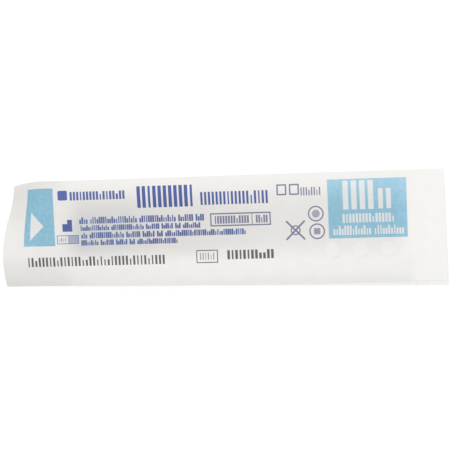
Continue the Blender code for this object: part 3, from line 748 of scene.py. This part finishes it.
MILKY, GAUGE_BLUE, AMBER = ink(246, 248, 248), ink(38, 86, 176), ink(232, 222, 190)
natural_sheath, sheath, sheath_shader = moulded("natural_polypropylene", MILKY, 0.32, 0.05, IOR=1.49)
see_through(sheath, sheath_shader, 0.11 + 0.5 * edge_on(sheath, 0.35), shade=0.35)
blue_hub, _, _ = moulded("blue_polypropylene", GAUGE_BLUE, 0.3, 0.12, IOR=1.49, Coat_Weight=0.15)
cured_adhesive, _, _ = moulded("amber_adhesive", AMBER, 0.12, 0.06, IOR=1.5, Coat_Weight=0.5)

drawn_steel, steel, steel_shader = new_finish("drawn_steel", Metallic=1.0)
lines = noise(steel, place_in_mm(steel), 0.05, detail=3.0, stretch=(0.02, 1.0, 1.0))
tinted(steel, steel_shader, ink(196, 198, 202), 0.92 + 0.16 * lines)
connect(steel, 0.16 + 0.2 * lines, steel_shader.inputs["Roughness"])
bumped(steel, steel_shader, lines, depth_mm=0.004, strength=0.5)
print("needle finishes ready")

# %% [markdown]
# ## Paper lid
#
# Geometry Nodes make the lid: a fine flat grid keeps its place on the sheet as an attribute, moves to
# where the rule puts it, and then rises or dips along its normals. Over the pocket it dips and cockles,
# as paper does where nothing holds it flat. Solidify then gives it its thickness, with plain paper at the
# back and on the cut edge.

# %% Helpers for node trees that move points
MESH_OUT = {"Geometry": bpy.types.Mesh}

def flat_grid(tree, size_x, size_y, points_x, points_y):
    inputs = {"Size X": size_x, "Size Y": size_y, "Vertices X": points_x, "Vertices Y": points_y}
    return add_wire(tree, "GeometryNodeMeshGrid", inputs)

def place_of_points(tree):
    return add_wire(tree, "GeometryNodeInputPosition")

def normal_of_points(tree):
    return add_wire(tree, "GeometryNodeInputNormal")

def lie_at(tree, x, y, opening):
    """Where the pack's lie puts these distances along and across."""
    return use_group(tree, LIE, {"Along": x, "Across": y, "Tab opening": opening})["Place"]

def moved_to(tree, geometry, place):
    return add_wire(tree, "GeometryNodeSetPosition", {"Geometry": geometry, "Position": place})

def raised(tree, geometry, rise_mm):
    """The geometry moved along its normals."""
    offset = scaled(tree, normal_of_points(tree), rise_mm * MM)
    return add_wire(tree, "GeometryNodeSetPosition", {"Geometry": geometry, "Offset": offset})

def soft_waves(tree, place, size_mm, seed):
    """Slow noise round 0.5 at a place in millimetres."""
    inputs = {"Vector": place, "W": seed, "Scale": 1.0 / size_mm, "Detail": 1.0}
    return add_wire(tree, "ShaderNodeTexNoise", inputs, noise_dimensions="4D")

def remembered(tree, geometry, name, value, kind):
    """(geometry, the value as it is now), kept on its points while the points move."""
    inputs = {"Geometry": geometry, "Name": name, "Value": value}
    kept = add_wire(tree, "GeometryNodeStoreNamedAttribute", inputs, data_type=kind, domain="POINT")
    return kept, add_wire(tree, "GeometryNodeInputNamedAttribute", {"Name": name}, data_type=kind)

def ended(tree, geometry, material, end):
    """Finishes a tree: instances become real faces, and they get their material."""
    real = add_wire(tree, "GeometryNodeRealizeInstances", {"Geometry": geometry})
    finished = add_wire(tree, "GeometryNodeSetMaterial", {"Geometry": real, "Material": material})
    connect(tree, finished, end.inputs["Geometry"])

# %% Helpers for pieces

def add_sized_modifier(piece, tree, values):
    """A Geometry Nodes modifier with its inputs set by the sockets' identifiers."""
    modifier = piece.modifiers.new(tree.name, "NODES")
    modifier.node_group = tree
    for item in tree.interface.items_tree:
        if item.in_out == "INPUT" and item.name in values:
            modifier[item.identifier] = values[item.name]

def add_thickness(piece, thickness_mm, back_slot=0):
    """Thickens a sheet downwards, with its back and rim in this material slot."""
    modifier = piece.modifiers.new("thickness", "SOLIDIFY")
    modifier.thickness = thickness_mm * MM
    modifier.offset = -1.0
    modifier.use_even_offset = True
    modifier.material_offset = back_slot
    modifier.material_offset_rim = back_slot

def made_plain(piece):
    """Gives the object what its modifiers make as its own mesh, and leaves no modifier."""
    bpy.context.view_layer.update()
    depsgraph = bpy.context.evaluated_depsgraph_get()
    mesh = bpy.data.meshes.new_from_object(piece.evaluated_get(depsgraph))
    piece.modifiers.clear()
    piece.data = mesh
    mesh.name = piece.name
    if None in list(mesh.materials):
        used = [material for material in mesh.materials if material]
        mesh.materials.clear()
        for material in used:
            mesh.materials.append(material)
        mesh.polygons.foreach_set("material_index", [0] * len(mesh.polygons))
    low, high = (in_mm(piece.bound_box[corner], 2) for corner in (0, 6))
    print(piece.name, len(mesh.polygons), "faces from", low, "to", high, "mm")

# %% Paper lid
LID_INPUTS = {"Steps along": 320, "Steps across": 82, "Rise": 0.17, "Dip": 0.3, "Cockle": 0.05}
LID_INPUTS |= {"Spot height": 0.05, "Cockle size": 7.0, "Seed": 4.0, "Finish": bpy.types.Material}
SPOT_SLOPE = 0.3
PAPER_SHARP = math.radians(40.0)

LID, lid_size, lid_end = new_group("paper lid", "Geometry", LID_INPUTS, MESH_OUT)
flat_x, flat_y, _ = split(LID, place_of_points(LID))
flat_place = joined(LID, flat_x + LENGTH / 2, flat_y + WIDTH / 2, 0.0)
flat_lid = flat_grid(LID, LENGTH, WIDTH, lid_size["Steps along"], lid_size["Steps across"])
lying, on_sheet = remembered(LID, flat_lid, ON_SHEET, flat_place, "FLOAT_VECTOR")
sheet_x, sheet_y, _ = split(LID, on_sheet)
lying = moved_to(LID, lying, lie_at(LID, sheet_x, sheet_y, 0.0))
unheld = pocket_distance(sheet_x, sheet_y).rising(0.0, -POCKET_CORNER).smoothed()
wave = soft_waves(LID, on_sheet, lid_size["Cockle size"], lid_size["Seed"])
sunk = (lid_size["Dip"] + lid_size["Cockle"] * (wave - 0.5) * 2.0) * unheld
lifted = lid_size["Spot height"] * pressed_spots(sheet_x, sheet_y, SPOT_SLOPE)
lying = raised(LID, lying, lid_size["Rise"] + lifted - sunk)
smooth = add_wire(LID, "GeometryNodeSetShadeSmooth", {"Geometry": lying})
ended(LID, smooth, lid_size["Finish"], lid_end)

paper = new_object("printed_lid")
add_sized_modifier(paper, LID, {"Rise": SEAL_GAP / 2 + PAPER_THICKNESS, "Finish": printed_paper})
add_thickness(paper, PAPER_THICKNESS, back_slot=1)
made_plain(paper)
paper.data.set_sharp_from_angle(angle=PAPER_SHARP)
paper.data.materials.clear()
paper.data.materials.append(printed_paper)
paper.data.materials.append(plain_paper)

# %% [markdown]
# ## Formed film
#
# Its rings run from the cut edge to the pocket's rim and on down the drafted wall to the level floor. They
# are laid flat first, each point with its place on the sheet and its depth. The same rule then lays them.

# %% Film rings
WALL_DRAFT = math.radians(12.0)
RIM_FILLET, FLOOR_FILLET = 0.8, 1.8
OVERHANG_LOW, OVERHANG_END, OVERHANG_START = 1.05, 0.4, 36.0
FILM_DEPTH = SHEET_HEIGHT - SEAL_GAP / 2 - FILM_THICKNESS
FLANGE_STEPS = 26

def stations(corner_steps=20, side_steps=(90, 8)):
    """(core point, direction) round the pocket: four round corners and four straight sides."""
    low_x, high_x = POCKET_ALONG[0] + POCKET_CORNER, POCKET_ALONG[1] - POCKET_CORNER
    low_y, high_y = POCKET_ACROSS[0] + POCKET_CORNER, POCKET_ACROSS[1] - POCKET_CORNER
    corners = [Vector(at) for at in ((high_x, high_y), (low_x, high_y), (low_x, low_y), (high_x, low_y))]
    for index, corner in enumerate(corners):
        for step in range(corner_steps + 1):
            angle = (index + step / corner_steps) * math.pi / 2
            yield corner, Vector((math.cos(angle), math.sin(angle)))
        onward, count = corners[(index + 1) % 4], side_steps[index % 2]
        for step in range(1, count):
            yield corner.lerp(onward, step / count), Vector((math.cos(angle), math.sin(angle)))

def cut_edge(core, direction):
    """Where the line from a core point meets the film's cut edge, askew of the paper's."""
    square = direction / max(abs(direction.x), abs(direction.y))
    end = LENGTH + OVERHANG_END * (1.0 - square.y) / 2 if direction.x > 0 else 0.0
    x = core.x + abs(square.x) * (end - core.x)
    shown = max(x - OVERHANG_START, 0.0) / (LENGTH - OVERHANG_START)
    low = WIDTH if direction.y > 0 else -OVERHANG_LOW * shown
    return Vector((x, core.y + abs(square.y) * (low - core.y)))

def wall_profile(depth, fillet_steps=8, wall_steps=10):
    """(inset, drop) pairs from the rim down to the floor: round rim, drafted wall, round foot."""
    turn = math.pi / 2 - WALL_DRAFT
    wall = (depth - (RIM_FILLET + FLOOR_FILLET) * (1.0 - math.cos(turn))) / math.sin(turn)
    rim = (RIM_FILLET * math.sin(turn), RIM_FILLET * (1.0 - math.cos(turn)))
    foot = (rim[0] + wall * math.cos(turn), rim[1] + wall * math.sin(turn))
    for step in range(1, fillet_steps + 1):
        angle = turn * step / fillet_steps
        yield RIM_FILLET * math.sin(angle), RIM_FILLET * (1.0 - math.cos(angle))
    for step in range(1, wall_steps):
        share = step / wall_steps
        yield rim[0] + (foot[0] - rim[0]) * share, rim[1] + (foot[1] - rim[1]) * share
    for step in range(fillet_steps + 1):
        angle = turn * (1.0 - step / fillet_steps)
        drop = foot[1] + FLOOR_FILLET * (math.cos(angle) - math.cos(turn))
        yield foot[0] + FLOOR_FILLET * (math.sin(turn) - math.sin(angle)), drop

def pocket_ring(reach, drop):
    """A ring of the pocket, this far out from the core points and this deep."""
    return [(core + way * reach).to_3d() - Vector((0, 0, drop)) for core, way in stations()]

flat_rings = []
for step in range(FLANGE_STEPS + 1):
    ends = [(cut_edge(core, way), core + way * POCKET_CORNER) for core, way in stations()]
    flat_rings.append([outer.lerp(rim, step / FLANGE_STEPS).to_3d() for outer, rim in ends])
for inset, drop in wall_profile(FILM_DEPTH):
    flat_rings.append(pocket_ring(POCKET_CORNER - inset, drop))
for share in (0.5, 0.0):
    flat_rings.append(pocket_ring((POCKET_CORNER - inset) * share, drop))
print("film laid flat:", len(flat_rings), "rings, floor", round(drop, 2), "mm down")

# %% Flat film mesh
shape = bmesh.new()
verts = [[shape.verts.new(point) for point in ring] for ring in flat_rings]
for outer, inner in zip(verts, verts[1:]):
    for i in range(len(outer)):
        j = (i + 1) % len(outer)
        shape.faces.new((outer[i], outer[j], inner[j], inner[i]))
bmesh.ops.remove_doubles(shape, verts=shape.verts, dist=1e-4)
floor_edges = [edge for edge in shape.edges if edge.is_boundary and edge.verts[0].co.z < -1.0]
bmesh.ops.holes_fill(shape, edges=floor_edges)
bmesh.ops.recalc_face_normals(shape, faces=shape.faces)
if sum(face.normal.z for face in shape.faces) < 0:
    bmesh.ops.reverse_faces(shape, faces=shape.faces)
flat_film = bpy.data.meshes.new("formed_film")
shape.to_mesh(flat_film)
shape.free()
print("film mesh:", len(flat_film.vertices), "points")

# %% Film blister
FILM_INPUTS = {"Geometry": bpy.types.Mesh, "Rise": -0.05, "Tab opening": TAB_OPENING, "Wave": 0.05}
FILM_INPUTS |= {"Wave size": 5.0, "Seed": 9.0, "Finish": bpy.types.Material}
LEVEL = -1e-4
WAVES_FROM, WAVES_FULL = -1.0, -3.0
FILM_SHARP = math.radians(60.0)

FILM, film_size, film_end = new_group("formed film", "Geometry", FILM_INPUTS, MESH_OUT)
flat_place = place_of_points(FILM)
lying, on_film = remembered(FILM, film_size["Geometry"], ON_SHEET, flat_place, "FLOAT_VECTOR")
film_x, film_y, film_z = split(FILM, on_film)
lie_x, lie_y, lie_z = split(FILM, lie_at(FILM, film_x, film_y, film_size["Tab opening"]))
is_flange = film_z.math("GREATER_THAN", LEVEL)
level_rise = (1.0 - is_flange) * film_size["Rise"]
lying = moved_to(FILM, lying, joined(FILM, lie_x, lie_y, lie_z + (film_z + level_rise) * MM))
wave = soft_waves(FILM, on_film, film_size["Wave size"], film_size["Seed"])
waving = wave.clamped() * film_size["Wave"] * film_z.rising(WAVES_FROM, WAVES_FULL)
lying = raised(FILM, lying, is_flange * film_size["Rise"] + waving)
smooth = add_wire(FILM, "GeometryNodeSetShadeSmooth", {"Geometry": lying})
ended(FILM, smooth, film_size["Finish"], film_end)

blister = new_object("formed_film", flat_film)
add_sized_modifier(blister, FILM, {"Rise": -SEAL_GAP / 2, "Finish": clear_film})
add_thickness(blister, FILM_THICKNESS)
made_plain(blister)
blister.data.set_sharp_from_angle(angle=FILM_SHARP)

# %% [markdown]
# ## Seal pads
#
# The sealing tool leaves rows of small raised pads under the film's flange, hundreds of them. Geometry
# Nodes put one low pad on each point of a staggered grid, turned to the bent film there.

# %% Places of the seal pads
PAD_INPUTS = {"Pitch": SEAL_PITCH, "Pad width": 0.62, "Pad height": 0.04, "Edge margin": 0.7}
PAD_INPUTS |= {"Tab opening": TAB_OPENING, "Finish": bpy.types.Material}
PADS_START = TAB_LENGTH + 0.6
PAD_SINK, PAD_TAPER = 0.01, 0.7

PADS, pad_size, pad_end = new_group("seal pads", "Geometry", PAD_INPUTS, MESH_OUT)
pitch, margin = pad_size["Pitch"], pad_size["Edge margin"]
columns, rows = (LENGTH / pitch).math("FLOOR"), (WIDTH / pitch).math("FLOOR")
pad_grid = flat_grid(PADS, columns * pitch, rows * pitch, columns + 1.0, rows + 1.0)
pad_x, pad_y, _ = split(PADS, place_of_points(PADS))
stagger = abs((pad_y / pitch).math("ROUND").math("MODULO", 2.0)) * pitch / 2.0
start_place = joined(PADS, pad_x + stagger + LENGTH / 2, pad_y + WIDTH / 2, 0.0)
spots = moved_to(PADS, pad_grid, start_place)
spot_x, spot_y, _ = split(PADS, place_of_points(PADS))
unwanted = most([
    pocket_distance(spot_x, spot_y).math("LESS_THAN", margin),
    outline_distance(spot_x, spot_y).math("GREATER_THAN", -margin),
    spot_x.math("LESS_THAN", PADS_START),
])
spots, is_unwanted = remembered(PADS, spots, "unwanted", unwanted, "FLOAT")
spots = moved_to(PADS, spots, lie_at(PADS, spot_x, spot_y, pad_size["Tab opening"]))
spots, normal = remembered(PADS, spots, "film_normal", normal_of_points(PADS), "FLOAT_VECTOR")
spots = raised(PADS, spots, -(SEAL_GAP / 2 + FILM_THICKNESS) + PAD_SINK)
deletion = {"Geometry": spots, "Selection": is_unwanted.math("GREATER_THAN", 0.5)}
spots = add_wire(PADS, "GeometryNodeDeleteGeometry", deletion, domain="POINT")
print("pads' places:", len(PADS.nodes), "nodes")

# %% One low pad on each place
pad_radius, pad_height = pad_size["Pad width"] * (MM / 2), pad_size["Pad height"] * MM
cone_inputs = {"Vertices": 8, "Side Segments": 1, "Depth": pad_height}
cone_inputs |= {"Radius Top": pad_radius, "Radius Bottom": pad_radius * PAD_TAPER}
pad = add_wire(PADS, "GeometryNodeMeshCone", cone_inputs)
shift_inputs = {"Geometry": pad, "Translation": joined(PADS, 0.0, 0.0, -pad_height)}
copy_inputs = {"Points": spots, "Instance": add_wire(PADS, "GeometryNodeTransform", shift_inputs)}
upright = add_wire(PADS, "FunctionNodeAlignRotationToVector", {"Vector": normal}, axis="Z")
copies = add_wire(PADS, "GeometryNodeInstanceOnPoints", copy_inputs | {"Rotation": upright})
ended(PADS, copies, pad_size["Finish"], pad_end)

pads = new_object("seal_pads")
add_sized_modifier(pads, PADS, {"Pitch": SEAL_PITCH, "Finish": clear_film})
made_plain(pads)

# %% [markdown]
# ## Needle pieces
#
# The solids of the hub, sheath, cannula and adhesive already have the right shapes. They arrive as loose
# triangles, so each is copied, its doubled points are merged, and it is shaded smooth with its real edges
# kept.

# %% Needle pieces
NEEDLE_SHARP = math.radians(32.0)

def smooth_copy(node, name, finish):
    """A merged, smooth-shaded copy of a solid that stands for it."""
    shape = bmesh.new()
    shape.from_mesh(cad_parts[node].data)
    bmesh.ops.remove_doubles(shape, verts=shape.verts, dist=1e-6)
    mesh = bpy.data.meshes.new(name)
    shape.to_mesh(mesh)
    shape.free()
    mesh.materials.clear()
    mesh.materials.append(finish)
    mesh.shade_smooth()
    mesh.set_sharp_from_angle(angle=NEEDLE_SHARP)
    print(name, len(mesh.polygons), "faces")
    return new_object(name, mesh)

NEEDLE_PIECES = (
    ("needle_sheath", "sheath", natural_sheath, "natural_sheath"),
    ("needle_hub", "winged_hub", blue_hub, "blue_hub"),
    ("cannula", "steel_cannula", drawn_steel, "needle_steel"),
    ("adhesive_bead", "adhesive_drop", cured_adhesive, "cured_adhesive"),
)
stand_ins = [(smooth_copy(node, name, finish), node, slot) for node, name, finish, slot in NEEDLE_PIECES]

# %% [markdown]
# ## Standing in for the solids
#
# Each made piece rides with the pack's one body and hides the solid that it stands for.

# %% Ride and replace
stand_ins += [(paper, "paper_lid", "lid_paper"), (blister, "film_blister", "clear_film")]
for piece, node, slot in stand_ins:
    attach(piece, "root")
    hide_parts(node)
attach(pads, "root")
